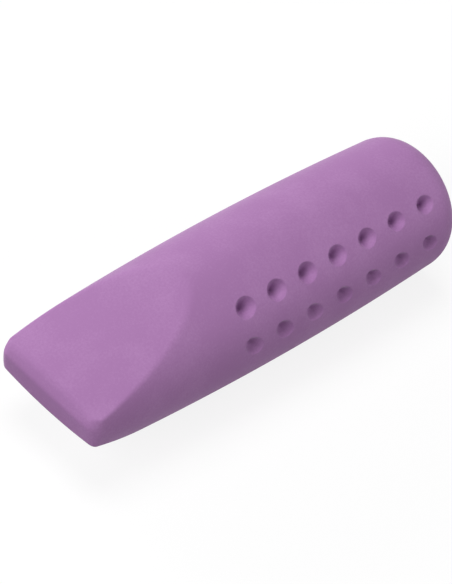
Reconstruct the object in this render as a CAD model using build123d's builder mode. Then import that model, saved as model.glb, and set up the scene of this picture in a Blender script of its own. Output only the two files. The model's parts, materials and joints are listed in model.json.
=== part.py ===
"""Slip-on pencil eraser cap: one soft moulding with a socket at one end and a chisel at the other.

Frame: the cap lies on its side. X runs along its axis, from the chisel tip (-X) to the
socket's mouth (+X). Y runs along the chisel edge and Z is up. The origin is under the middle
of the cap, on the surface that it lies on.
"""
from build123d import *
from math import cos, radians, sin
import os

# ---------------------------------------------------------------- driving dimensions, mm, degrees
length = 43.0                # chisel tip to mouth
belly_dia = 13.0             # widest circle of the barrel
belly_from_mouth = 21.5      # where that circle lies
mouth_end_fall = 0.7         # how much lower the barrel is at the mouth, before its rounding
tip_end_fall = 0.7           # and at the tip's corners, before the chisel is cut

mouth_round_along = 2.4      # rounding of the open end: how far it reaches along the axis
mouth_land = 0.55            # flat ring left between that rounding and the socket

pencil_dia = 7.2             # pencil that the cap is made for
pencil_grip = 0.2            # the socket is this much smaller, so that the cap holds on
socket_depth = 22.0          # mouth to the flat floor that the pencil's end meets
lip_round = 0.12             # rounding of the socket's mouth edge

chisel_slope = 19.0          # each chisel face from the axis
tip_thickness = 2.9          # between the chisel faces at the tip, before its edges are rounded
chisel_crown = 45.0          # radius that each chisel face bulges to, across its width
tip_bow = 100.0              # radius of the tip's end, seen from above
corner_round = 0.7           # rounding of the tip's two corners
edge_round = 0.7             # rounding of every edge of the chisel

low_row_angle = 14.5         # rows of grip dimples, above the chisel edge about the axis
high_row_angle = 44.5
low_dimple_dia = 1.8         # round dimples, at their rim
high_dimple_dia = 2.1
low_dimple_depth = 0.5
high_dimple_depth = 0.6
dimples_per_row = 7
dimple_pitch = 3.56          # along the axis
dimples_from_mouth = 4.0     # mouth to the middle of the first dimple
row_sides = 2                # the rows come again half a turn on

# ---------------------------------------------------------------- places that follow from them
axis_height = belly_dia / 2
mouth_x = length / 2
tip_x = mouth_x - length
belly_x = mouth_x - belly_from_mouth
socket_dia = pencil_dia - pencil_grip
clear_of_part = belly_dia    # how far cutting shapes reach past the part
cap_axis = Axis((0, 0, axis_height), (1, 0, 0))
tip_end_radius = belly_dia / 2 - tip_end_fall
tip_bow_depth = tip_bow - (tip_bow ** 2 - tip_end_radius ** 2) ** 0.5
tip_corner = (tip_x + tip_bow_depth, tip_end_radius)


def barrel_arc_centre():
    """Centre and radius of the circle through the tip's corner, the belly and the mouth."""
    points = [
        Vector(*tip_corner),
        Vector(belly_x, belly_dia / 2),
        Vector(mouth_x, belly_dia / 2 - mouth_end_fall),
    ]
    arc = Edge.make_three_point_arc(*points)
    return arc.arc_center, arc.radius


arc_centre, arc_radius = barrel_arc_centre()


def barrel_radius(x):
    """Radius of the barrel at a place along the axis."""
    return arc_centre.Y + (arc_radius ** 2 - (x - arc_centre.X) ** 2) ** 0.5


def ball_radius(rim_dia, depth):
    """Radius of the ball that leaves a bowl of that rim and depth."""
    return ((rim_dia / 2) ** 2 + depth ** 2) / (2 * depth)


def row_centres(row_angle, depth, radius):
    """Centres of the balls that leave one row of dimples and its copies round the barrel."""
    centres = []
    for turn in range(row_sides):
        angle = radians(row_angle + turn * 360 / row_sides)
        for step in range(dimples_per_row):
            x = mouth_x - dimples_from_mouth - step * dimple_pitch
            reach = barrel_radius(x) - depth + radius
            centres.append((x, -reach * cos(angle), axis_height + reach * sin(angle)))
    return centres


# ---------------------------------------------------------------- the cap
round_start_x = mouth_x - mouth_round_along
rim_radius = socket_dia / 2 + mouth_land

with BuildPart() as eraser_cap:
    # barrel: bulged outline, bowed tip end and rounded open end, turned about the axis
    with BuildSketch(Plane.XY.offset(axis_height)) as barrel_section:
        with BuildLine():
            TangentArc((tip_x, 0), tip_corner, tangent=(0, 1))
            ThreePointArc(
                tip_corner,
                (belly_x, belly_dia / 2),
                (round_start_x, barrel_radius(round_start_x)),
            )
            EllipticalCenterArc(
                (round_start_x, rim_radius),
                mouth_round_along,
                barrel_radius(round_start_x) - rim_radius,
                start_angle=0,
                arc_size=90,
            )
            Polyline((mouth_x, rim_radius), (mouth_x, 0), (tip_x, 0))
        make_face()
        fillet(barrel_section.vertices().sort_by_distance(tip_corner)[0], radius=corner_round)
    revolve(axis=cap_axis)

    # chisel: two crowned faces cut at the same slope, above and below
    for side in (1, -1):
        face_plane = Plane(
            origin=(tip_x, 0, axis_height + side * tip_thickness / 2),
            x_dir=(0, side, 0),
            z_dir=(cos(radians(chisel_slope)), 0, side * sin(radians(chisel_slope))),
        )
        with BuildSketch(face_plane):
            Rectangle(2 * clear_of_part, 2 * clear_of_part)
            with Locations((0, -chisel_crown)):
                Circle(chisel_crown, mode=Mode.SUBTRACT)
        extrude(amount=length, both=True, mode=Mode.SUBTRACT)

    # every edge round the two chisel faces is rounded
    chisel_faces = eraser_cap.faces().filter_by(GeomType.CYLINDER)
    fillet(chisel_faces.edges(), radius=edge_round)

    # socket that the pencil's end pushes into
    with BuildSketch(Plane.YZ.offset(mouth_x)):
        with Locations((0, axis_height)):
            Circle(socket_dia / 2)
    extrude(amount=-socket_depth, mode=Mode.SUBTRACT)
    mouth_circles = eraser_cap.edges().filter_by(GeomType.CIRCLE).group_by(Axis.X)[-1]
    fillet(mouth_circles.sort_by(SortBy.RADIUS)[0], radius=lip_round)

    # grip dimples: round bowls in straight rows
    for row_angle, rim_dia, depth in (
        (low_row_angle, low_dimple_dia, low_dimple_depth),
        (high_row_angle, high_dimple_dia, high_dimple_depth),
    ):
        bowl_radius = ball_radius(rim_dia, depth)
        with Locations(*row_centres(row_angle, depth, bowl_radius)):
            Sphere(bowl_radius, mode=Mode.SUBTRACT)

os.makedirs("parts", exist_ok=True)
eraser_cap.part.label = "eraser_cap"
export_step(eraser_cap.part, "parts/eraser_cap.step")
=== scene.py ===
"""Looks of a slip-on pencil eraser cap: one soft lilac moulding, and the studio that it lies in.

The cap lies on its side. X runs along its axis from the chisel tip to the pencil socket's mouth,
Y runs along the chisel edge, Z is up, and every length is in metres. The moulding is one closed
skin: a flat sheet, measured along the cap's outline and round its axis, is cut into strips and
dimple cells and is then wrapped round the axis. Geometry Nodes do both.
"""

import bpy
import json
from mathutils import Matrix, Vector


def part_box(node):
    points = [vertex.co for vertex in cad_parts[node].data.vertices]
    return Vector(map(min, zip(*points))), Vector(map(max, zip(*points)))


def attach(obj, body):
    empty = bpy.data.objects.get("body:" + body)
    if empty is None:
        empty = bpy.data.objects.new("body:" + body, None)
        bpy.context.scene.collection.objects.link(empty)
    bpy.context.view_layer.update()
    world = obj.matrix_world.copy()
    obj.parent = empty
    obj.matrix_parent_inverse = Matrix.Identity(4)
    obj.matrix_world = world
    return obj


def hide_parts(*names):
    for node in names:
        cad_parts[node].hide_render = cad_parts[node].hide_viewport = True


bl_info = {
    "name": "Eraser Cap",
    "version": (1, 0, 0),
    "blender": (4, 5, 0),
    "location": "3D View > Sidebar > Eraser Cap",
    "description": "Builds a slip-on pencil eraser cap and the studio that it is shown in",
    "category": "Add Mesh",
}

import json
import math

import bpy
from mathutils import Matrix, Vector

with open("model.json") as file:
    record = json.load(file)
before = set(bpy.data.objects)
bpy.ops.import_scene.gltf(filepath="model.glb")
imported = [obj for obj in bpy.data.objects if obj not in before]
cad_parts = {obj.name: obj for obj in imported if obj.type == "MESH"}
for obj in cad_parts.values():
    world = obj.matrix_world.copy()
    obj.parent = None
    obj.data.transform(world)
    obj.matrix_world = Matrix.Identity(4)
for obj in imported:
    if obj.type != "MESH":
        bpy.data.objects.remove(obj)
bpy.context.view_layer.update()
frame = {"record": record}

MM = 0.001
QUARTER_TURN = math.pi / 2
HALF_TURN = math.pi
FULL_TURN = 2 * math.pi

CAD_NODE = "eraser_cap"
LOW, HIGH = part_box(CAD_NODE)
CAP_LENGTH = HIGH.x - LOW.x
BELLY_DIA = HIGH.y - LOW.y
SOCKET_MOUTH, SOCKET_FLOOR = frame["record"]["mounts"][:2]
SOCKET_RADIUS = SOCKET_MOUTH["dims"]["r_mm"] * MM
SOCKET_DEPTH = HIGH.x - SOCKET_FLOOR["pos_m"][0]

# the part of the sheet that each stretch of the outline takes up, and how many rows of faces it gets
TIP_FACE_RUN = 5.0 * MM
TIP_FACE_ROWS = 12
TIP_ROUND_RUN = 1.0 * MM
TIP_ROUND_ROWS = 14
CHISEL_ROWS = 76
MOUTH_RUN = 3.4 * MM
MOUTH_ROWS = 16
LAND_RUN = 0.4 * MM
LAND_ROWS = 3
LIP_RUN = 0.2 * MM
LIP_ROWS = 4
WALL_ROWS = 12
CORNER_RUN = 0.5 * MM
CORNER_ROWS = 3
FLOOR_RUN = 3.0 * MM
FLOOR_ROWS = 5

# a dimple cell is a four-sided patch of the sheet, with rings of faces round its bowl
CELLS_ROUND = 12
CELL_SIDES = 4
CELL_SIDE_FACES = 20
BOWL_RINGS = 6
RIM_RINGS = 6
APRON_RINGS = 4
# where the rim's rings begin and end, as shares of the bowl's radius
RIM_FROM = 0.88
RIM_TO = 1.14
# how the depth falls off with the radius: 1 would be a cone, and 2 a round bowl
BOWL_POWER = 1.6
# points of the skin that lie closer than this are one point
WELD = 0.004 * MM

# the rubber's patches and grain: sizes, and the stretch of each noise over which the colour changes
PATCH_SIZE = 4 * MM
PATCH_NOISE = (0.35, 0.65)
GRAIN_NOISE = (0.3, 0.7)
GRAIN_NOISE_ROUGHNESS = 0.6
GRAIN_HEIGHT = 0.03 * MM
NOISE_DETAIL = 2.0
ROUGHNESS_SPREAD = 0.05
RUBBER_IOR = 1.5

# half the floor's side; and the round lamps, with each one's azimuth from +X and its elevation in degrees
FLOOR_REACH = 3.0
LAMP_SIZE = 0.35
LAMP_DISTANCE = 0.6
LAMP_PLACES = {
    "key": (112, 76),
    "tip": (188, 35),
    "back": (90, 15),
    "front": (315, 15),
}

# the photograph's frame in pixels, and where the middle of the cap stands in it
PHOTO_WIDTH = 452
PHOTO_HEIGHT = 584
CENTRE_COLUMN = 232.4
CENTRE_ROW = 293.13
# the camera round the cap: azimuth from -Y, elevation, and roll about the view
CAMERA_AZIMUTH = math.radians(-53.87)
CAMERA_ELEVATION = math.radians(44.10)
CAMERA_ROLL = math.radians(14.70)
CAMERA_DISTANCE = 0.6
CAMERA_FOCAL_PIXELS = 7204.0
CAMERA_NEAREST = 0.01
SENSOR_HEIGHT = 36.0

# the kinds of node that are used most, and the Mix node's sockets where it mixes colours
MATH = "ShaderNodeMath"
MAP_RANGE = "ShaderNodeMapRange"
COMBINE = "ShaderNodeCombineXYZ"
SEPARATE = "ShaderNodeSeparateXYZ"
ATTRIBUTE = "GeometryNodeInputNamedAttribute"
STORE = "GeometryNodeStoreNamedAttribute"
MIX_SHARE, MIX_FROM, MIX_TO = 0, 6, 7
MIX_RESULT = 2


# ---------------------------------------------------------------- sizes and colours that a user can change
def length_property(name, millimetres, description):
    """A length in millimetres, kept in metres."""
    return bpy.props.FloatProperty(
        name=name, description=description, default=millimetres * MM,
        subtype="DISTANCE", unit="LENGTH", precision=5,
    )


def angle_property(name, degrees, description):
    """An angle in degrees, kept in radians."""
    return bpy.props.FloatProperty(
        name=name, description=description, default=math.radians(degrees),
        subtype="ANGLE", unit="ROTATION",
    )


def share_property(name, share, description):
    """A plain number, such as a share or a strength."""
    return bpy.props.FloatProperty(name=name, description=description, default=share)


def colour_property(name, hex_colour, description):
    """A colour given in sRGB hex, kept linear."""
    return bpy.props.FloatVectorProperty(
        name=name, description=description, default=linear(hex_colour),
        subtype="COLOR", size=4, min=0, max=1,
    )


def linear(hex_colour):
    """Linear RGBA of an sRGB hex colour."""
    channels = [int(hex_colour[i:i + 2], 16) / 255 for i in (1, 3, 5)]
    return tuple(c / 12.92 if c <= 0.04045 else ((c + 0.055) / 1.055) ** 2.4 for c in channels) + (1.0,)


class CapSizes(bpy.types.PropertyGroup):
    """Outline of the moulding."""
    cap_length: length_property("Cap Length", CAP_LENGTH / MM, "Chisel tip to mouth")
    belly_radius: length_property("Belly Radius", BELLY_DIA / 2 / MM, "Widest circle of the barrel")
    belly_from_tip: length_property("Belly From Tip", CAP_LENGTH / 2 / MM, "Where that circle lies")
    end_fall: length_property("End Fall", 0.7, "How much lower the barrel is at each end")
    chisel_slope: angle_property("Chisel Slope", 18.5, "Each chisel face from the axis")
    tip_half: length_property("Tip Half Thickness", 1.68, "Axis to each chisel face at the tip")
    chisel_crown: length_property("Chisel Crown", 45.0, "Radius that each chisel face bulges to")
    tip_bow: length_property("Tip Bow", 200.0, "Radius of the tip's end, seen from above")
    tip_bow_reach: length_property("Tip Bow Reach", 6.0, "How far back the bow fades out")
    corner_round: length_property("Corner Rounding", 1.0, "Radius of the tip's corners, seen from above")
    edge_round: length_property("Edge Rounding", 0.5, "Rounding of the tip's long edges")
    ridge_step: length_property("Ridge Step", 0.46, "How far back the tip's long edges lie from its ridge")
    ridge_height: length_property("Ridge Height", 0.55, "The tip's ridge above the axis")
    ridge_soft: share_property("Ridge Softness", 0.6, "Blend over the ridge, as a share of the step")
    crease_tip: length_property("Crease Softness Tip", 0.6, "Blend from chisel face to barrel at the tip")
    crease_apex: length_property("Crease Softness Apex", 0.2, "The same blend at the top of the crease")
    crease_reach: length_property("Crease Reach", 14.5, "Tip to the top of the crease")
    mouth_round: length_property("Mouth Rounding", 2.4, "Rounding of the open end along the axis")
    mouth_land: length_property("Mouth Land", 0.55, "Flat ring round the socket")
    socket_radius: length_property("Socket Radius", SOCKET_RADIUS / MM, "Bore that the pencil goes into")
    socket_depth: length_property("Socket Depth", SOCKET_DEPTH / MM, "Mouth to the socket's floor")
    lip_round: length_property("Lip Rounding", 0.12, "Rounding of the socket's mouth edge")
    floor_round: length_property("Floor Rounding", 0.3, "Fillet between the socket's wall and floor")


class DimpleSizes(bpy.types.PropertyGroup):
    """Two rows of grip dimples, which come again half a turn on."""
    count: bpy.props.IntProperty(name="Dimples Per Row", description="Along the axis", default=7)
    cell_pitch: length_property("Cell Pitch", 3.56, "Length of one dimple cell along the axis")
    from_mouth: length_property("First From Mouth", 4.0, "Mouth to the middle of the nearest cells")
    low_cell_angle: angle_property("Low Cell Angle", 14.5, "Middle of the low row's cells")
    low_angle: angle_property("Low Row Angle", 12.2, "Low row above the chisel edge")
    low_pitch: length_property("Low Row Pitch", 3.53, "Low row, dimple to dimple")
    low_climb: length_property("Low Row Climb", 0.01, "How much higher each dimple lies than the last")
    low_long: length_property("Low Dimple Length", 2.0, "Rim along the axis")
    low_wide: length_property("Low Dimple Width", 1.95, "Rim round the barrel")
    low_depth: length_property("Low Dimple Depth", 0.76, "Bowl of the low row")
    low_slant: share_property("Low Dimple Slant", -0.4, "Lean along the cap, for each step up round it")
    high_angle: angle_property("High Row Angle", 45.2, "High row above the chisel edge")
    high_pitch: length_property("High Row Pitch", 3.60, "High row, dimple to dimple")
    high_climb: length_property("High Row Climb", 0.03, "How much higher each dimple lies than the last")
    high_long: length_property("High Dimple Length", 2.15, "Rim along the axis")
    high_wide: length_property("High Dimple Width", 1.95, "Rim round the barrel")
    high_depth: length_property("High Dimple Depth", 1.05, "Bowl of the high row")
    high_slant: share_property("High Dimple Slant", 0.0, "Lean along the cap, for each step up round it")
    mouth_share: share_property("Size At Mouth", 0.9, "Size of the dimples by the mouth against the first")
    rim_soft: length_property("Rim Softness", 0.05, "Blend from the surface into a bowl")


class RubberFinish(bpy.types.PropertyGroup):
    """Moulded lilac eraser rubber."""
    colour: colour_property("Rubber", "#A97CAE", "Colour of the rubber")
    dark: colour_property("Rubber Dark", "#A173A6", "Where the pigment lies thicker")
    patch_share: share_property("Patches", 0.7, "How dark the broad patches of pigment get")
    speck_share: share_property("Specks", 0.8, "How dark the fine specks of pigment get")
    grain: length_property("Grain", 0.2, "Size of the moulded grain")
    grain_relief: share_property("Grain Relief", 0.5, "How strongly the grain breaks up the light")
    roughness: share_property("Roughness", 0.78, "Matte, from 0 to 1")
    gloss: share_property("Gloss", 0.2, "Strength of the mirror-like part of the light")
    rim: share_property("Pale Rim", 0.2, "Strength of the soft light where the rubber turns away")
    rim_spread: share_property("Pale Rim Spread", 0.3, "How far that light reaches in from the edge")


class StudioSetting(bpy.types.PropertyGroup):
    """Floor and lights."""
    floor_colour: colour_property("Floor", "#FFFFFF", "Plain white floor, as it is seen")
    bounce_colour: colour_property("Bounce", "#B4B4B4", "White paper, as it throws light back on the cap")
    floor_glow: share_property("Floor Glow", 0.85, "How far the seen floor is plain white, without shadow")
    key_power: share_property("Key Light", 2.08, "Watts of the light overhead")
    tip_power: share_property("Tip Light", 2.05, "Watts of the light past the chisel tip")
    back_power: share_property("Back Light", 2.2, "Watts of the low light behind the cap")
    front_power: share_property("Front Light", 1.3, "Watts of the low light before the cap, to the right")


def own_properties(group):
    """A property group's own properties, without those that every group has."""
    return [prop for prop in group.bl_rna.properties if prop.identifier not in ("rna_type", "name")]


def values_by_name(group):
    """A property group's values, by the names that the trees' inputs have."""
    return {prop.name: getattr(group, prop.identifier) for prop in own_properties(group)}


# ---------------------------------------------------------------- nodes and trees
def add(tree, kind, *inputs, into=None, **settings):
    """Adds a node, with its settings, and fills or links its inputs in order, or by name with into.

    A list goes into one input item by item, as joined geometry does.
    """
    node = tree.nodes.new(kind)
    for name, value in settings.items():
        setattr(node, name, value)
    for key, value in [*enumerate(inputs), *(into or {}).items()]:
        for item in value if isinstance(value, list) else [value]:
            if isinstance(item, bpy.types.Node):
                item = item.outputs[0]
            if isinstance(item, bpy.types.NodeSocket):
                tree.links.new(item, node.inputs[key])
            else:
                node.inputs[key].default_value = item
    return node


def new_tree(name, inputs):
    """A geometry tree with named inputs, of the given types. Returns it and its inputs by name."""
    tree = bpy.data.node_groups.new(name, "GeometryNodeTree")
    for label, socket_type in inputs.items():
        tree.interface.new_socket(label, in_out="INPUT", socket_type=socket_type)
    tree.interface.new_socket("Geometry", in_out="OUTPUT", socket_type="NodeSocketGeometry")
    return tree, tree.nodes.new("NodeGroupInput").outputs


def float_inputs(*names):
    """Float inputs for a tree, by name."""
    return {name: "NodeSocketFloat" for name in names}


def give(tree, node):
    """Makes a node's first output the tree's own."""
    out = tree.nodes.new("NodeGroupOutput")
    tree.links.new(node.outputs[0], out.inputs[0])
    return tree


# ---------------------------------------------------------------- the flat sheet
def strip_tree():
    """Tree for one strip of the sheet: so many rows of faces along it and round it."""
    tree, given = new_tree("Sheet Strip", {
        **float_inputs("From", "To", "Start", "End"),
        "Rows": "NodeSocketInt",
        "Faces Round": "NodeSocketInt",
    })
    long = add(tree, MATH, given["To"], given["From"], operation="SUBTRACT")
    wide = add(tree, MATH, given["End"], given["Start"], operation="SUBTRACT")
    long_lines = add(tree, MATH, given["Rows"], 1.0, operation="ADD")
    wide_lines = add(tree, MATH, given["Faces Round"], 1.0, operation="ADD")
    grid = add(tree, "GeometryNodeMeshGrid", long, wide, long_lines, wide_lines)
    middle_long = add(tree, MATH, long, 0.5, given["From"], operation="MULTIPLY_ADD")
    middle_wide = add(tree, MATH, wide, 0.5, given["Start"], operation="MULTIPLY_ADD")
    middle = add(tree, COMBINE, middle_long, middle_wide, 0.0)
    return give(tree, add(tree, "GeometryNodeSetPosition", grid, into={"Offset": middle}))


def row_tree():
    """Tree for one row of dimple cells: points on the sheet that carry what each bowl needs."""
    tree, given = new_tree("Dimple Row", {
        "Count": "NodeSocketInt",
        **float_inputs("First", "Cell Pitch", "Cell Height", "Pitch", "Height", "Climb", "Half Long",
                       "Half Wide", "Depth", "Slant", "Angle", "Mouth Share"),
    })
    start = add(tree, COMBINE, given["First"], given["Cell Height"], 0.0)
    step = add(tree, COMBINE, given["Cell Pitch"], 0.0, 0.0)
    points = add(tree, "GeometryNodeMeshLine", mode="OFFSET",
                 into={"Count": given["Count"], "Start Location": start, "Offset": step})

    # the dimples shrink evenly towards the mouth
    index = add(tree, "GeometryNodeInputIndex")
    last = add(tree, MATH, given["Count"], 1.0, operation="SUBTRACT")
    share = add(tree, MATH, index, last, operation="DIVIDE")
    size = add(tree, MAP_RANGE, share, 0.0, 1.0, 1.0, given["Mouth Share"])
    half_long = add(tree, MATH, given["Half Long"], size, operation="MULTIPLY")
    half_wide = add(tree, MATH, given["Half Wide"], size, operation="MULTIPLY")
    depth = add(tree, MATH, given["Depth"], size, operation="MULTIPLY")

    # the bowls have their own pitch and height, so each sits a little off its cell's middle
    from_middle = add(tree, MATH, last, -0.5, index, operation="MULTIPLY_ADD")
    spread = add(tree, MATH, given["Pitch"], given["Cell Pitch"], operation="SUBTRACT")
    along = add(tree, MATH, from_middle, spread, operation="MULTIPLY")
    across = add(tree, MATH, given["Height"], given["Cell Height"], operation="SUBTRACT")
    across = add(tree, MATH, from_middle, given["Climb"], across, operation="MULTIPLY_ADD")

    for name, value in (
        ("cell", add(tree, "GeometryNodeInputPosition")),
        ("bowl", add(tree, COMBINE, half_long, half_wide, depth)),
        ("shift", add(tree, COMBINE, along, across, given["Slant"])),
    ):
        points = add(tree, STORE, points, data_type="FLOAT_VECTOR", into={"Name": name, "Value": value})
    return give(tree, add(tree, STORE, points, into={"Name": "row_angle", "Value": given["Angle"]}))


def cell_tree():
    """Tree for the dimple cells: one cell's rings on every point, shaped into bowl, rim and apron."""
    tree, given = new_tree("Dimple Cells", {
        "Geometry": "NodeSocketGeometry",
        **float_inputs("Half Long", "Half Wide", "Rim Softness"),
    })
    # the raw cell is a strip: its rings along X, and its four sides one after the other along Y
    rings = BOWL_RINGS + RIM_RINGS + APRON_RINGS
    spokes = CELL_SIDES * CELL_SIDE_FACES
    raw = add(tree, "GeometryNodeMeshGrid", float(rings), float(CELL_SIDES), rings + 1, spokes + 1)
    place = add(tree, SEPARATE, add(tree, "GeometryNodeInputPosition")).outputs
    for name, axis, count in (("ring", "X", rings), ("side", "Y", CELL_SIDES)):
        number = add(tree, MATH, place[axis], count / 2, operation="ADD")
        raw = add(tree, STORE, raw, into={"Name": name, "Value": number})
    cells = add(tree, "GeometryNodeInstanceOnPoints", into={"Points": given["Geometry"], "Instance": raw})
    cells = add(tree, "GeometryNodeRealizeInstances", cells)

    # how far out each ring lies, as a share of the bowl's radius, and how far it has turned square
    ring = add(tree, ATTRIBUTE, "ring")
    inner = add(tree, MAP_RANGE, ring, 0.0, BOWL_RINGS, 0.0, RIM_FROM)
    rim = add(tree, MAP_RANGE, ring, BOWL_RINGS, BOWL_RINGS + RIM_RINGS, 0.0, RIM_TO - RIM_FROM)
    share = add(tree, MATH, inner, rim, operation="ADD")
    square = add(tree, MAP_RANGE, ring, BOWL_RINGS + RIM_RINGS, rings, 0.0, 1.0)

    # round the cell: an angle for the bowl, and for each axis a place between the cell's two borders,
    # which stays at a border for one side and crosses over on the next
    side = add(tree, ATTRIBUTE, "side")
    turn = add(tree, MATH, side, 0.5, operation="SUBTRACT")
    turn = add(tree, MATH, turn, QUARTER_TURN, operation="MULTIPLY")
    borders = []
    for middle, reach in ((0.5, "Half Long"), (1.5, "Half Wide")):
        wave = add(tree, MATH, side, middle, operation="SUBTRACT")
        wave = add(tree, MATH, wave, float(CELL_SIDES), operation="FLOORED_MODULO")
        wave = add(tree, MATH, wave, CELL_SIDES / 2, operation="SUBTRACT")
        wave = add(tree, MATH, wave, operation="ABSOLUTE")
        wave = add(tree, MAP_RANGE, wave, 0.5, 1.5, -1.0, 1.0)
        borders.append(add(tree, MATH, wave, given[reach], operation="MULTIPLY"))

    # the bowl is oval, may lean along the cap, and sits off the cell's middle
    bowl, shift = (
        add(tree, SEPARATE, add(tree, ATTRIBUTE, name, data_type="FLOAT_VECTOR")).outputs
        for name in ("bowl", "shift")
    )
    across = add(tree, MATH, share, bowl["Y"], operation="MULTIPLY")
    across = add(tree, MATH, across, add(tree, MATH, turn, operation="SINE"), operation="MULTIPLY")
    along = add(tree, MATH, share, bowl["X"], operation="MULTIPLY")
    along = add(tree, MATH, along, add(tree, MATH, turn, operation="COSINE"), operation="MULTIPLY")
    along = add(tree, MATH, across, shift["Z"], along, operation="MULTIPLY_ADD")
    places = []
    for out, axis, border in ((along, "X", borders[0]), (across, "Y", borders[1])):
        out = add(tree, MATH, out, shift[axis], operation="ADD")
        places.append(add(tree, MAP_RANGE, square, 0.0, 1.0, out, border))
    in_cell = add(tree, COMBINE, *places, 0.0)
    cell = add(tree, ATTRIBUTE, "cell", data_type="FLOAT_VECTOR")
    on_sheet = add(tree, "ShaderNodeVectorMath", in_cell, cell, operation="ADD")
    cells = add(tree, "GeometryNodeSetPosition", cells, into={"Position": on_sheet})

    # depth: it rises through the surface at the rim, which is softened
    rise = add(tree, MATH, share, BOWL_POWER, operation="POWER")
    rise = add(tree, MATH, 1.0, rise, operation="SUBTRACT")
    rise = add(tree, MATH, rise, bowl["Z"], operation="MULTIPLY")
    dent = add(tree, MATH, rise, 0.0, given["Rim Softness"], operation="SMOOTH_MAX")
    fade = add(tree, MATH, 1.0, square, operation="SUBTRACT")
    dent = add(tree, MATH, dent, fade, operation="MULTIPLY")
    return give(tree, add(tree, STORE, cells, into={"Name": "dent", "Value": dent}))


def add_cells(tree, given, cells_start, cell_angle):
    """The dimple cells of the sheet: a low and a high row, and both again half a turn on."""
    radius = given["Belly Radius"]
    row = row_tree()
    first = add(tree, MATH, given["Cell Pitch"], 0.5, cells_start, operation="MULTIPLY_ADD")
    rows = []
    for name, cells_up in (("Low", 0), ("High", 1)):
        half_long = add(tree, MATH, given[f"{name} Dimple Length"], 0.5, operation="MULTIPLY")
        half_wide = add(tree, MATH, given[f"{name} Dimple Width"], 0.5, operation="MULTIPLY")
        for turn in (0.0, HALF_TURN):
            up = cells_up * cell_angle + turn
            cell_turn = add(tree, MATH, given["Low Cell Angle"], up, operation="ADD")
            row_turn = add(tree, MATH, given[f"{name} Row Angle"], turn, operation="ADD")
            rows.append(add(tree, "GeometryNodeGroup", node_tree=row, into={
                "Count": given["Dimples Per Row"],
                "First": first,
                "Cell Pitch": given["Cell Pitch"],
                "Cell Height": add(tree, MATH, cell_turn, radius, operation="MULTIPLY"),
                "Pitch": given[f"{name} Row Pitch"],
                "Height": add(tree, MATH, row_turn, radius, operation="MULTIPLY"),
                "Climb": given[f"{name} Row Climb"],
                "Half Long": half_long,
                "Half Wide": half_wide,
                "Depth": given[f"{name} Dimple Depth"],
                "Slant": given[f"{name} Dimple Slant"],
                "Angle": row_turn,
                "Mouth Share": given["Size At Mouth"],
            }))
    points = add(tree, "GeometryNodeJoinGeometry", rows)
    return add(tree, "GeometryNodeGroup", points, node_tree=cell_tree(), into={
        "Half Long": add(tree, MATH, given["Cell Pitch"], 0.5, operation="MULTIPLY"),
        "Half Wide": add(tree, MATH, radius, cell_angle / 2, operation="MULTIPLY"),
        "Rim Softness": given["Rim Softness"],
    })


def add_sheet(tree, given, body_run):
    """The flat sheet: strips along the outline, and dimple cells in four rows."""
    cell_angle = FULL_TURN / CELLS_ROUND
    faces_round = CELLS_ROUND * CELL_SIDE_FACES

    # sheet places along the outline: the body starts at nought, behind the tip's rounding
    mouth_cell = add(tree, MATH, given["Cap Length"], given["First From Mouth"], operation="SUBTRACT")
    mouth_cell = add(tree, MATH, mouth_cell, given["Corner Rounding"], operation="SUBTRACT")
    cells_end = add(tree, MATH, given["Cell Pitch"], 0.5, mouth_cell, operation="MULTIPLY_ADD")
    cells_long = add(tree, MATH, given["Dimples Per Row"], given["Cell Pitch"], operation="MULTIPLY")
    cells_start = add(tree, MATH, cells_end, cells_long, operation="SUBTRACT")
    cell_rows = add(tree, MATH, given["Dimples Per Row"], float(CELL_SIDE_FACES), operation="MULTIPLY")
    mouth_end = add(tree, MATH, body_run, MOUTH_RUN, operation="ADD")
    land_end = add(tree, MATH, body_run, MOUTH_RUN + LAND_RUN, operation="ADD")
    lip_end = add(tree, MATH, body_run, MOUTH_RUN + LAND_RUN + LIP_RUN, operation="ADD")
    wall_end = add(tree, MATH, lip_end, given["Socket Depth"], operation="ADD")
    corner_end = add(tree, MATH, wall_end, CORNER_RUN, operation="ADD")
    floor_end = add(tree, MATH, corner_end, FLOOR_RUN, operation="ADD")

    # the sheet starts at the low edge of the low row's cells and goes once round; each side of the cap
    # has two cells, and then a plain strip
    start = add(tree, MATH, given["Low Cell Angle"], cell_angle / 2, operation="SUBTRACT")
    rounds = []
    for cells in (0, 2, CELLS_ROUND / 2, CELLS_ROUND / 2 + 2, CELLS_ROUND):
        angle = add(tree, MATH, start, cells * cell_angle, operation="ADD")
        rounds.append(add(tree, MATH, angle, given["Belly Radius"], operation="MULTIPLY"))
    plain_faces = faces_round // 2 - 2 * CELL_SIDE_FACES

    strip = strip_tree()
    pieces = [
        add(tree, "GeometryNodeGroup", *ends, rounds[0], rounds[-1], rows, faces_round, node_tree=strip)
        for *ends, rows in (
            (-TIP_ROUND_RUN - TIP_FACE_RUN, -TIP_ROUND_RUN, TIP_FACE_ROWS),
            (-TIP_ROUND_RUN, 0.0, TIP_ROUND_ROWS),
            (0.0, cells_start, CHISEL_ROWS),
            (cells_end, mouth_end, MOUTH_ROWS),
            (mouth_end, land_end, LAND_ROWS),
            (land_end, lip_end, LIP_ROWS),
            (lip_end, wall_end, WALL_ROWS),
            (wall_end, corner_end, CORNER_ROWS),
            (corner_end, floor_end, FLOOR_ROWS),
        )
    ]
    for low, high in (rounds[1:3], rounds[3:5]):
        pieces.append(add(tree, "GeometryNodeGroup", cells_start, cells_end, low, high, cell_rows,
                          plain_faces, node_tree=strip))
    pieces.append(add_cells(tree, given, cells_start, cell_angle))
    sheet = add(tree, "GeometryNodeJoinGeometry", pieces)
    return add(tree, "GeometryNodeMergeByDistance", sheet, into={"Distance": WELD})


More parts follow.
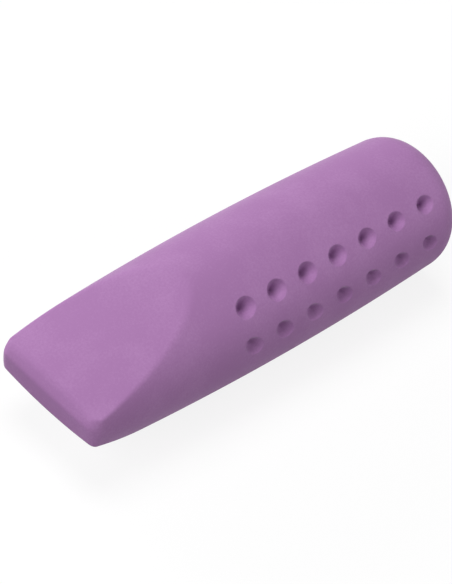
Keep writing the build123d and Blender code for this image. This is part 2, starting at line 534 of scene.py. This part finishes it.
# ---------------------------------------------------------------- the outline that the sheet is wrapped by
def outline_stretches(tree, given, along, body_run):
    """How far each stretch has gone: a turn on a rounding, a length on the body, and a share elsewhere."""
    past_body = add(tree, MATH, along, body_run, operation="SUBTRACT")
    past_mouth = add(tree, MATH, past_body, MOUTH_RUN, operation="SUBTRACT")
    past_lip = add(tree, MATH, past_mouth, LAND_RUN + LIP_RUN, operation="SUBTRACT")
    past_wall = add(tree, MATH, past_lip, given["Socket Depth"], operation="SUBTRACT")
    return {
        "face": add(tree, MAP_RANGE, along, -TIP_ROUND_RUN - TIP_FACE_RUN, -TIP_ROUND_RUN, 0.0, 1.0),
        "tip": add(tree, MAP_RANGE, along, -TIP_ROUND_RUN, 0.0, 0.0, QUARTER_TURN),
        "body": add(tree, MAP_RANGE, along, 0.0, body_run, 0.0, body_run),
        "mouth": add(tree, MAP_RANGE, past_body, 0.0, MOUTH_RUN, 0.0, QUARTER_TURN),
        "land": add(tree, MAP_RANGE, past_mouth, 0.0, LAND_RUN, 0.0, 1.0),
        "lip": add(tree, MAP_RANGE, past_mouth, LAND_RUN, LAND_RUN + LIP_RUN, 0.0, QUARTER_TURN),
        "wall": add(tree, MAP_RANGE, past_lip, 0.0, given["Socket Depth"], 0.0, 1.0),
        "corner": add(tree, MAP_RANGE, past_wall, 0.0, CORNER_RUN, 0.0, QUARTER_TURN),
        "floor": add(tree, MAP_RANGE, past_wall, CORNER_RUN, CORNER_RUN + FLOOR_RUN, 0.0, 1.0),
    }


def one_less(tree, wave, turn):
    """One less the sine or cosine of a rounding's turn."""
    return add(tree, MATH, 1.0, add(tree, MATH, turn, operation=wave), operation="SUBTRACT")


def less_steps(tree, length, steps):
    """A length, less each step's share of its size."""
    for share, size in steps:
        step = add(tree, MATH, share, size, operation="MULTIPLY")
        length = add(tree, MATH, length, step, operation="SUBTRACT")
    return length


def barrel_radius(tree, given, from_tip):
    """Radius of the bulged barrel at a place along it."""
    from_belly = add(tree, MATH, from_tip, given["Belly From Tip"], operation="SUBTRACT")
    from_belly = add(tree, MATH, from_belly, given["Belly From Tip"], operation="DIVIDE")
    fall = add(tree, MATH, from_belly, from_belly, operation="MULTIPLY")
    fall = add(tree, MATH, fall, given["End Fall"], operation="MULTIPLY")
    return add(tree, MATH, given["Belly Radius"], fall, operation="SUBTRACT")


def outline_radius(tree, given, gone, barrel):
    """From the axis to the outline: in at the tip's corners, in at the mouth, and inside the socket."""
    rim = add(tree, MATH, given["Socket Radius"], given["Mouth Land"], operation="ADD")
    mouth_width = add(tree, MATH, barrel, rim, operation="SUBTRACT")
    land_width = add(tree, MATH, given["Mouth Land"], given["Lip Rounding"], operation="SUBTRACT")
    floor_width = add(tree, MATH, given["Socket Radius"], given["Floor Rounding"], operation="SUBTRACT")
    return less_steps(tree, barrel, (
        (one_less(tree, "SINE", gone["tip"]), given["Corner Rounding"]),
        (one_less(tree, "COSINE", gone["mouth"]), mouth_width),
        (gone["land"], land_width),
        (add(tree, MATH, gone["lip"], operation="SINE"), given["Lip Rounding"]),
        (one_less(tree, "COSINE", gone["corner"]), given["Floor Rounding"]),
        (gone["floor"], floor_width),
    ))


def outline_axial(tree, given, gone, from_tip):
    """From the tip to the outline, along the axis: out to the mouth, then back down the socket."""
    wall_run = add(tree, MATH, given["Socket Depth"], given["Lip Rounding"], operation="SUBTRACT")
    wall_run = add(tree, MATH, wall_run, given["Floor Rounding"], operation="SUBTRACT")
    mouth = add(tree, MATH, gone["mouth"], operation="SINE")
    axial = add(tree, MATH, mouth, given["Mouth Rounding"], from_tip, operation="MULTIPLY_ADD")
    return less_steps(tree, axial, (
        (one_less(tree, "COSINE", gone["lip"]), given["Lip Rounding"]),
        (gone["wall"], wall_run),
        (add(tree, MATH, gone["corner"], operation="SINE"), given["Floor Rounding"]),
    ))


def face_level(tree, given, from_tip, side, setback):
    """Height of a chisel face above the axis: sloped, crowned, and rounded at the tip's long edge."""
    slope = add(tree, MATH, given["Chisel Slope"], operation="TANGENT")
    level = add(tree, MATH, from_tip, slope, given["Tip Half Thickness"], operation="MULTIPLY_ADD")
    # the crown's sag across the cap, measured upright: half its chord squared, over its diameter
    crown = add(tree, MATH, given["Chisel Slope"], operation="COSINE")
    crown = add(tree, MATH, given["Chisel Crown"], crown, operation="MULTIPLY")
    crown = add(tree, MATH, crown, 2.0, operation="MULTIPLY")
    sag = add(tree, MATH, side, side, operation="MULTIPLY")
    sag = add(tree, MATH, sag, crown, operation="DIVIDE")
    level = add(tree, MATH, level, sag, operation="SUBTRACT")
    # the long edges lie behind the ridge, where the face is higher
    level = add(tree, MATH, setback, slope, level, operation="MULTIPLY_ADD")

    # within the edge rounding's radius of the tip, the face drops along a circle
    edge = given["Edge Rounding"]
    edge_squared = add(tree, MATH, edge, edge, operation="MULTIPLY")
    inside = add(tree, MATH, edge, from_tip, operation="SUBTRACT")
    inside = add(tree, MATH, inside, 0.0, operation="MAXIMUM")
    inside_squared = add(tree, MATH, inside, inside, operation="MULTIPLY")
    rise = add(tree, MATH, edge_squared, inside_squared, operation="SUBTRACT")
    rise = add(tree, MATH, rise, operation="SQRT")
    drop = add(tree, MATH, edge, rise, operation="SUBTRACT")
    return add(tree, MATH, level, drop, operation="SUBTRACT")


def tip_bow(tree, given, side, from_tip):
    """How far the bow of the tip's end, seen from above, moves a place back. The socket has none of it."""
    bow = add(tree, MATH, side, side, operation="MULTIPLY")
    across = add(tree, MATH, given["Tip Bow"], 2.0, operation="MULTIPLY")
    bow = add(tree, MATH, bow, across, operation="DIVIDE")
    share = add(tree, MAP_RANGE, from_tip, 0.0, given["Tip Bow Reach"], 1.0, 0.0,
                interpolation_type="SMOOTHSTEP")
    return add(tree, MATH, bow, share, operation="MULTIPLY")


def ridge_fall(tree, given, height):
    """How far the tip's end falls back from its ridge, as a share of the step: 1 at the long edges."""
    above = add(tree, MATH, height, given["Ridge Height"], operation="SUBTRACT")
    reach_up = add(tree, MATH, given["Tip Half Thickness"], given["Ridge Height"], operation="SUBTRACT")
    reach_down = add(tree, MATH, given["Tip Half Thickness"], given["Ridge Height"], operation="ADD")
    upper = add(tree, MATH, above, reach_up, operation="DIVIDE")
    upper = add(tree, MATH, 1.0, upper, operation="SUBTRACT")
    lower = add(tree, MATH, above, reach_down, operation="DIVIDE")
    lower = add(tree, MATH, 1.0, lower, operation="ADD")
    ridge = add(tree, MATH, upper, lower, given["Ridge Softness"], operation="SMOOTH_MIN")
    return add(tree, MATH, 1.0, ridge, operation="SUBTRACT")


def cap_tree(material, values):
    """Tree for the whole moulding: the sheet, wrapped round the axis by the cap's outline."""
    sizes = {
        name: "NodeSocketInt" if isinstance(value, int) else "NodeSocketFloat"
        for name, value in values.items()
    }
    tree, given = new_tree("Eraser Cap", {"Geometry": "NodeSocketGeometry", **sizes})
    body_run = add(tree, MATH, given["Cap Length"], given["Corner Rounding"], operation="SUBTRACT")
    body_run = add(tree, MATH, body_run, given["Mouth Rounding"], operation="SUBTRACT")
    sheet = add_sheet(tree, given, body_run)

    place = add(tree, SEPARATE, add(tree, "GeometryNodeInputPosition")).outputs
    gone = outline_stretches(tree, given, place["X"], body_run)
    from_tip = one_less(tree, "COSINE", gone["tip"])
    from_tip = add(tree, MATH, from_tip, given["Corner Rounding"], gone["body"], operation="MULTIPLY_ADD")
    radius = outline_radius(tree, given, gone, barrel_radius(tree, given, from_tip))
    axial = outline_axial(tree, given, gone, from_tip)

    # across the chisel: the barrel's circle is pressed down to the crowned faces, with a soft crease
    turn = add(tree, MATH, place["Y"], given["Belly Radius"], operation="DIVIDE")
    cosine = add(tree, MATH, turn, operation="COSINE")
    sine = add(tree, MATH, turn, operation="SINE")
    side = add(tree, MATH, radius, cosine, operation="MULTIPLY")
    round_level = add(tree, MATH, sine, operation="ABSOLUTE")
    round_level = add(tree, MATH, radius, round_level, operation="MULTIPLY")
    setback = add(tree, MATH, gone["tip"], operation="COSINE")
    setback = add(tree, MATH, setback, given["Ridge Step"], operation="MULTIPLY")
    flat_level = face_level(tree, given, from_tip, side, setback)
    softness = add(tree, MAP_RANGE, from_tip, 0.0, given["Crease Reach"],
                   given["Crease Softness Tip"], given["Crease Softness Apex"])
    height = add(tree, MATH, round_level, flat_level, softness, operation="SMOOTH_MIN")
    height = add(tree, MATH, height, add(tree, MATH, sine, operation="SIGN"), operation="MULTIPLY")

    # the tip's end closes towards the axis; it is bowed, and its two shallow slopes meet in a ridge
    side = add(tree, MATH, side, gone["face"], operation="MULTIPLY")
    height = add(tree, MATH, height, gone["face"], operation="MULTIPLY")
    axial = add(tree, MATH, axial, tip_bow(tree, given, side, from_tip), operation="ADD")
    axial = add(tree, MATH, setback, ridge_fall(tree, given, height), axial, operation="MULTIPLY_ADD")

    # bowls sink in, square to the surface of their row
    dent = add(tree, ATTRIBUTE, "dent")
    row_angle = add(tree, ATTRIBUTE, "row_angle")
    inwards = add(tree, MATH, row_angle, operation="COSINE")
    downwards = add(tree, MATH, row_angle, operation="SINE")
    downwards = add(tree, MATH, dent, downwards, operation="MULTIPLY")
    x = add(tree, MATH, axial, given["Tip Place"], operation="ADD")
    y = add(tree, MATH, side, -1.0, operation="MULTIPLY")
    y = add(tree, MATH, dent, inwards, y, operation="MULTIPLY_ADD")
    z = add(tree, MATH, height, given["Belly Radius"], operation="ADD")
    z = add(tree, MATH, z, downwards, operation="SUBTRACT")
    skin = add(tree, "GeometryNodeSetPosition", sheet, into={"Position": add(tree, COMBINE, x, y, z)})
    skin = add(tree, "GeometryNodeMergeByDistance", skin, into={"Distance": WELD})
    skin = add(tree, "GeometryNodeSetShadeSmooth", skin)
    skin = add(tree, "GeometryNodeRealizeInstances", skin)
    return give(tree, add(tree, "GeometryNodeSetMaterial", skin, into={"Material": material}))


def made_mesh(name, tree, values):
    """Runs a tree on an empty mesh, with its inputs set by identifier, and returns the plain mesh."""
    host = bpy.data.objects.new(name + "_host", bpy.data.meshes.new(name + "_host"))
    bpy.context.scene.collection.objects.link(host)
    modifier = host.modifiers.new(name, "NODES")
    modifier.node_group = tree
    for socket in tree.interface.items_tree:
        if socket.in_out == "INPUT" and socket.name in values:
            modifier[socket.identifier] = values[socket.name]
    shown = host.evaluated_get(bpy.context.evaluated_depsgraph_get())
    mesh = bpy.data.meshes.new_from_object(shown)
    host.modifiers.remove(modifier)
    bpy.data.objects.remove(host)
    for layer in ("ring", "side", "cell", "bowl", "shift", "row_angle", "dent"):
        if layer in mesh.attributes:
            mesh.attributes.remove(mesh.attributes[layer])
    mesh.name = name
    return mesh


# ---------------------------------------------------------------- materials
def moulded_rubber(finish):
    """Soft eraser rubber, injection moulded in a spark-eroded mould: matte, with a faint even grain."""
    material = bpy.data.materials.new("moulded_eraser_rubber")
    material.use_nodes = True
    tree = material.node_tree
    shader = tree.nodes["Principled BSDF"]
    where = add(tree, "ShaderNodeTexCoord").outputs["Object"]
    # pigment flows unevenly into the mould, in soft patches a few millimetres across
    patches = add(tree, "ShaderNodeTexNoise",
                  into={"Vector": where, "Scale": 1 / PATCH_SIZE, "Detail": NOISE_DETAIL})
    # the mould's grain is about 0.05 mm; it is drawn coarser, at a pixel or two of the photograph
    grain = add(tree, "ShaderNodeTexNoise", into={
        "Vector": where,
        "Scale": 1 / finish.grain,
        "Detail": NOISE_DETAIL,
        "Roughness": GRAIN_NOISE_ROUGHNESS,
    })
    patch = add(tree, MAP_RANGE, patches, *PATCH_NOISE, 0.0, finish.patch_share)
    speck = add(tree, MAP_RANGE, grain, *GRAIN_NOISE, 0.0, finish.speck_share)
    darker = add(tree, MATH, patch, speck, operation="ADD")
    colour = add(tree, "ShaderNodeMix", data_type="RGBA",
                 into={MIX_SHARE: darker, MIX_FROM: finish.colour, MIX_TO: finish.dark})
    tree.links.new(colour.outputs[MIX_RESULT], shader.inputs["Base Color"])
    # the grain breaks up what little shine there is
    rough = add(tree, MAP_RANGE, grain, *GRAIN_NOISE,
                finish.roughness - ROUGHNESS_SPREAD, finish.roughness + ROUGHNESS_SPREAD)
    tree.links.new(rough.outputs[0], shader.inputs["Roughness"])
    bump = add(tree, "ShaderNodeBump",
               into={"Strength": finish.grain_relief, "Distance": GRAIN_HEIGHT, "Height": grain})
    tree.links.new(bump.outputs[0], shader.inputs["Normal"])
    shader.inputs["IOR"].default_value = RUBBER_IOR
    shader.inputs["Specular IOR Level"].default_value = finish.gloss
    # painted sheen: a paler rim where the rubber turns away, standing in for the light that spills round
    # its edges
    shader.inputs["Sheen Weight"].default_value = finish.rim
    shader.inputs["Sheen Roughness"].default_value = finish.rim_spread
    return material


def seen_directly(tree):
    """1 where the camera, a reflection or a clear view sees a thing, and 0 in the light that it throws."""
    ray = add(tree, "ShaderNodeLightPath").outputs
    direct = add(tree, MATH, ray["Is Camera Ray"], ray["Is Glossy Ray"], operation="MAXIMUM")
    return add(tree, MATH, direct, ray["Is Transmission Ray"], operation="MAXIMUM")


def white_paper(setting):
    """Matt white paper: pale where the camera sees it, greyer in the light that it throws back."""
    material = bpy.data.materials.new("white_paper")
    material.use_nodes = True
    tree = material.node_tree
    tree.nodes.remove(tree.nodes["Principled BSDF"])
    bounce = add(tree, "ShaderNodeBsdfDiffuse", setting.bounce_colour)
    paper = add(tree, "ShaderNodeBsdfDiffuse", setting.floor_colour)
    glow = add(tree, "ShaderNodeEmission", setting.floor_colour, 1.0)
    lit = add(tree, "ShaderNodeMixShader", setting.floor_glow, paper, glow)
    shader = add(tree, "ShaderNodeMixShader", seen_directly(tree), bounce, lit)
    tree.links.new(shader.outputs[0], tree.nodes["Material Output"].inputs["Surface"])
    return material


# ---------------------------------------------------------------- studio
def add_floor(scene, setting):
    """The white paper that the cap lies on."""
    mesh = bpy.data.meshes.new("floor")
    corners = [(x * FLOOR_REACH, y * FLOOR_REACH, 0) for x, y in ((-1, -1), (1, -1), (1, 1), (-1, 1))]
    mesh.from_pydata(corners, [], [(0, 1, 2, 3)])
    mesh.materials.append(white_paper(setting))
    floor = bpy.data.objects.new("floor", mesh)
    scene.collection.objects.link(floor)


def add_world(scene):
    """Plain white surroundings, which are seen but light nothing."""
    world = bpy.data.worlds.new("surroundings")
    world.use_nodes = True
    tree = world.node_tree
    background = tree.nodes["Background"]
    tree.links.new(seen_directly(tree).outputs[0], background.inputs["Strength"])
    background.inputs["Color"].default_value = (1, 1, 1, 1)
    scene.world = world


def add_lamp(scene, name, power, aim):
    """A soft round lamp that shines at the cap from its own place."""
    azimuth, elevation = LAMP_PLACES[name]
    light = bpy.data.lights.new(name, "AREA")
    light.shape = "DISK"
    light.size = LAMP_SIZE
    light.energy = power
    lamp = bpy.data.objects.new(name, light)
    tilt = Matrix.Rotation(math.radians(90 - elevation), 4, "Y")
    turn = Matrix.Rotation(math.radians(azimuth), 4, "Z") @ tilt
    lamp.matrix_world = Matrix.Translation(aim) @ turn @ Matrix.Translation((0, 0, LAMP_DISTANCE))
    scene.collection.objects.link(lamp)


def camera_place(aim):
    """Where the camera stands: round the cap by its azimuth and elevation, and rolled about its view."""
    back = Vector((
        math.sin(CAMERA_AZIMUTH) * math.cos(CAMERA_ELEVATION),
        -math.cos(CAMERA_AZIMUTH) * math.cos(CAMERA_ELEVATION),
        math.sin(CAMERA_ELEVATION),
    ))
    turned = back.to_track_quat("Z", "Y").to_matrix().to_4x4()
    return Matrix.Translation(aim + back * CAMERA_DISTANCE) @ turned @ Matrix.Rotation(CAMERA_ROLL, 4, "Z")


def add_camera(scene, aim):
    """The camera that took the photograph, as far as its frame shows."""
    camera = bpy.data.cameras.new("camera")
    camera.sensor_fit = "VERTICAL"
    camera.sensor_height = SENSOR_HEIGHT
    camera.lens = CAMERA_FOCAL_PIXELS * camera.sensor_height / PHOTO_HEIGHT
    camera.shift_x = (PHOTO_WIDTH / 2 - CENTRE_COLUMN) / PHOTO_HEIGHT
    camera.shift_y = (CENTRE_ROW - PHOTO_HEIGHT / 2) / PHOTO_HEIGHT
    camera.clip_start = CAMERA_NEAREST
    camera.dof.use_dof = False
    eye = bpy.data.objects.new("camera", camera)
    eye.matrix_world = camera_place(aim)
    scene.collection.objects.link(eye)
    scene.camera = eye


# ---------------------------------------------------------------- operators
class ERASERCAP_OT_cap(bpy.types.Operator):
    """Make the moulded cap"""
    bl_idname = "eraser_cap.cap"
    bl_label = "Make Cap"

    def execute(self, context):
        scene = context.scene
        values = {**values_by_name(scene.cap_sizes), **values_by_name(scene.cap_dimples)}
        values["Tip Place"] = LOW.x
        mesh = made_mesh("cap_moulding", cap_tree(moulded_rubber(scene.cap_rubber), values), values)
        if not mesh.polygons:
            raise RuntimeError("the cap came out empty")
        cap = bpy.data.objects.new("cap_moulding", mesh)
        scene.collection.objects.link(cap)
        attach(cap, "root")
        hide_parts(CAD_NODE)
        return {"FINISHED"}


class ERASERCAP_OT_studio(bpy.types.Operator):
    """Make the floor, the lights and the camera"""
    bl_idname = "eraser_cap.studio"
    bl_label = "Make Studio"

    def execute(self, context):
        scene = context.scene
        setting = scene.cap_studio
        aim = Vector((0, 0, BELLY_DIA / 2))
        add_floor(scene, setting)
        add_world(scene)
        for name in LAMP_PLACES:
            add_lamp(scene, name, getattr(setting, f"{name}_power"), aim)
        add_camera(scene, aim)
        scene.view_settings.view_transform = "Standard"
        return {"FINISHED"}


OPERATORS = (ERASERCAP_OT_cap, ERASERCAP_OT_studio)
GROUPS = {
    "cap_sizes": CapSizes,
    "cap_dimples": DimpleSizes,
    "cap_rubber": RubberFinish,
    "cap_studio": StudioSetting,
}


class ERASERCAP_PT_panel(bpy.types.Panel):
    """Buttons and sizes of the cap"""
    bl_idname = "ERASERCAP_PT_panel"
    bl_label = "Eraser Cap"
    bl_space_type = "VIEW_3D"
    bl_region_type = "UI"
    bl_category = "Eraser Cap"

    def draw(self, context):
        for operator in OPERATORS:
            self.layout.operator(operator.bl_idname)
        for name in GROUPS:
            group = getattr(context.scene, name)
            column = self.layout.column(align=True)
            for prop in own_properties(group):
                column.prop(group, prop.identifier)


def register():
    """Registers the sizes, the operators and the panel."""
    for group in GROUPS.values():
        bpy.utils.register_class(group)
    for name, group in GROUPS.items():
        setattr(bpy.types.Scene, name, bpy.props.PointerProperty(type=group))
    for operator in OPERATORS:
        bpy.utils.register_class(operator)
    bpy.utils.register_class(ERASERCAP_PT_panel)


def unregister():
    """Takes them all out again."""
    bpy.utils.unregister_class(ERASERCAP_PT_panel)
    for operator in reversed(OPERATORS):
        bpy.utils.unregister_class(operator)
    for name, group in reversed(GROUPS.items()):
        delattr(bpy.types.Scene, name)
        bpy.utils.unregister_class(group)


def main():
    """Registers the add-on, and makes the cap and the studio."""
    register()
    bpy.ops.eraser_cap.cap()
    bpy.ops.eraser_cap.studio()


if __name__ == "__main__":
    main()
